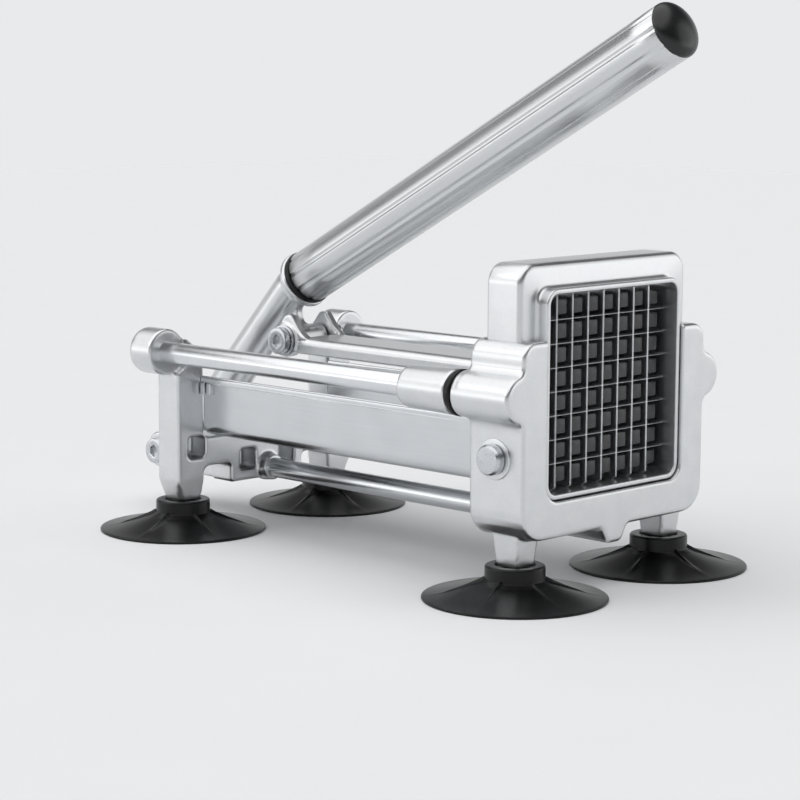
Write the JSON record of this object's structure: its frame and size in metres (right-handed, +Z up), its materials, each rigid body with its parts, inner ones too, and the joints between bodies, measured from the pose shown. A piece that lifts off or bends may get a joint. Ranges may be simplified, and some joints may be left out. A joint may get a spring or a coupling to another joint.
{
  "type": "french fry cutter",
  "caption": "Lever-operated french fry cutter: a cast frame on suction feet, with a tray, guide rods and a pusher that drives potatoes through a lift-out blade grid.",
  "frame": {"origin": "on the worktop, under the middle of the whole cutter, midway between its ends and its sides", "axes": "+X to the right seen from the blade side, +Y from the blades to the lever's pivot, +Z up"},
  "size_m": [0.173, 0.3216, 0.245],
  "materials": {
    "cast_aluminium": "satin cast and polished",
    "polished_steel": "polished",
    "satin_steel": "satin",
    "drawn_aluminium": "drawn, brushed along",
    "black_rubber": "smooth",
    "black_plastic": "moulded",
    "nylon": "machined"
  },
  "bodies": {
    "base": {"bumper_ring_left": "black_rubber", "bumper_ring_right": "black_rubber", "cassette_frame": "cast_aluminium", "foot_stud_front_left": "satin_steel", "foot_stud_front_right": "satin_steel", "foot_stud_rear_left": "satin_steel", "foot_stud_rear_right": "satin_steel", "front_frame": "cast_aluminium", "guide_rod_left": "polished_steel", "guide_rod_right": "polished_steel", "guide_rod_screw_left": "satin_steel", "guide_rod_screw_right": "satin_steel", "level_blade_1": "satin_steel", "level_blade_2": "satin_steel", "level_blade_3": "satin_steel", "level_blade_4": "satin_steel", "level_blade_5": "satin_steel", "level_blade_6": "satin_steel", "level_blade_7": "satin_steel", "lever_bolt": "satin_steel", "lever_nut": "satin_steel", "lock_spring": "satin_steel", "rear_frame": "cast_aluminium", "suction_cup_front_left": "black_rubber", "suction_cup_front_right": "black_rubber", "suction_cup_rear_left": "black_rubber", "suction_cup_rear_right": "black_rubber", "tie_rod": "polished_steel", "tie_rod_screw": "satin_steel", "tray": "polished_steel", "upright_blade_1": "satin_steel", "upright_blade_2": "satin_steel", "upright_blade_3": "satin_steel", "upright_blade_4": "satin_steel", "upright_blade_5": "satin_steel", "upright_blade_6": "satin_steel", "upright_blade_7": "satin_steel"},
    "lever": {"handle_cap": "black_plastic", "handle_gasket": "black_rubber", "handle_tube": "drawn_aluminium", "lever_casting": "cast_aluminium"},
    "link": {"connecting_link": "cast_aluminium", "front_pivot_nut": "satin_steel", "front_pivot_screw": "satin_steel", "link_bolt": "satin_steel", "link_nut": "satin_steel", "link_washer": "satin_steel"},
    "carriage": {"bushing_left": "nylon", "bushing_right": "nylon", "carriage": "cast_aluminium", "front_pivot_pin": "satin_steel", "pusher_block": "black_plastic", "pusher_screw_lower_left": "satin_steel", "pusher_screw_lower_right": "satin_steel", "pusher_screw_upper_left": "satin_steel", "pusher_screw_upper_right": "satin_steel"},
    "knob": {"lock_knob": "polished_steel"}
  },
  "joints": [
    {"name": "lever_swing", "type": "hinge", "parent": "base", "child": "lever", "pos_m": [0, 0.15054, 0.028], "axis": [-1, 0, 0], "range_deg": [0, 70]},
    {"name": "link_swing", "type": "hinge", "parent": "lever", "child": "link", "pos_m": [0, 0.06344, 0.0901], "axis": [-1, 0, 0], "range_deg": [-88.07, 0]},
    {"name": "carriage_slide", "type": "slide", "parent": "base", "child": "carriage", "axis": [0, 1, 0], "range_m": [0, 0.12221]},
    {"name": "knob_pull", "type": "slide", "parent": "base", "child": "knob", "axis": [-1, 0, 0], "range_m": [0, 0.0015], "stiffness_N_per_m": 300, "springref_m": -0.001, "deforming": ["lock_spring"]}
  ],
  "couplings": [
    {"joint": "link_swing", "follows": "lever_swing", "ratio": -1.2574},
    {"joint": "carriage_slide", "follows": "lever_swing", "m_per_rad": 0.099992}
  ]
}
